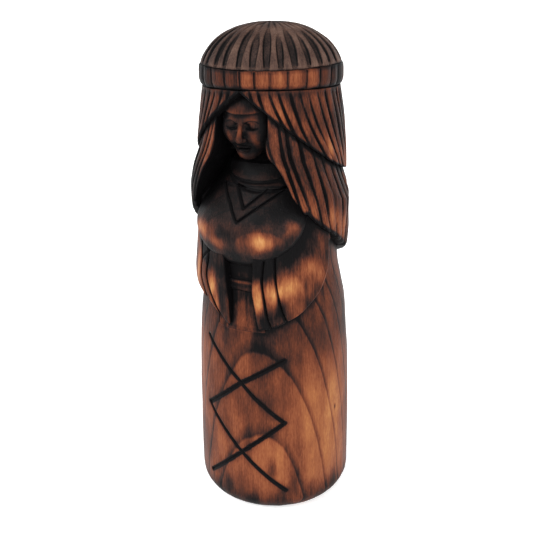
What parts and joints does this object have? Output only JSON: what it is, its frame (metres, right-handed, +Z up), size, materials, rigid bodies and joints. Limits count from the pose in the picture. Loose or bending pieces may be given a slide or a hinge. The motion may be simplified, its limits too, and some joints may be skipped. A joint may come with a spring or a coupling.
{
  "type": "carved figure",
  "caption": "Round carved wooden figure of a standing woman in a fluted cap, veil, long hair and long dress, resting on a flat base.",
  "frame": {"origin": "middle of the underside, where the figure stands", "axes": "+Z up along the figure's axis, the figure faces -Y, +X is the figure's left hand"},
  "size_m": [0.0832, 0.083, 0.2501],
  "materials": {
    "cap_wood": "charred and oiled, satin",
    "band_wood": "lightly scorched and oiled, semi-gloss",
    "veil_wood": "scorched and oiled, semi-gloss",
    "hair_wood": "scorched and oiled, semi-gloss",
    "face_wood": "charred and oiled, satin",
    "collar_wood": "charred and oiled, satin",
    "bodice_wood": "unevenly scorched and oiled, semi-gloss",
    "sleeve_wood": "unevenly scorched and oiled, semi-gloss",
    "cuff_wood": "unevenly scorched and oiled, semi-gloss",
    "waist_wood": "charred and oiled, satin",
    "core_wood": "bare wood inside the block",
    "skirt_wood": "scorched and oiled, semi-gloss"
  },
  "bodies": {
    "root": {"cap_crown": "cap_wood", "cap_band": "band_wood", "veil_left": "veil_wood", "veil_right": "veil_wood", "veil_back": "veil_wood", "head": "face_wood", "hair_left": "hair_wood", "hair_right": "hair_wood", "hair_back": "hair_wood", "neck": "face_wood", "collar": "collar_wood", "neckline_trim": "collar_wood", "bust": "bodice_wood", "sleeve_left": "sleeve_wood", "sleeve_right": "sleeve_wood", "cuff_outer_left": "cuff_wood", "cuff_outer_right": "cuff_wood", "cuff_inner_left": "cuff_wood", "cuff_inner_right": "cuff_wood", "belt": "waist_wood", "front_panel": "waist_wood", "waist": "waist_wood", "torso_core": "core_wood", "skirt": "skirt_wood"}
  },
  "joints": []
}
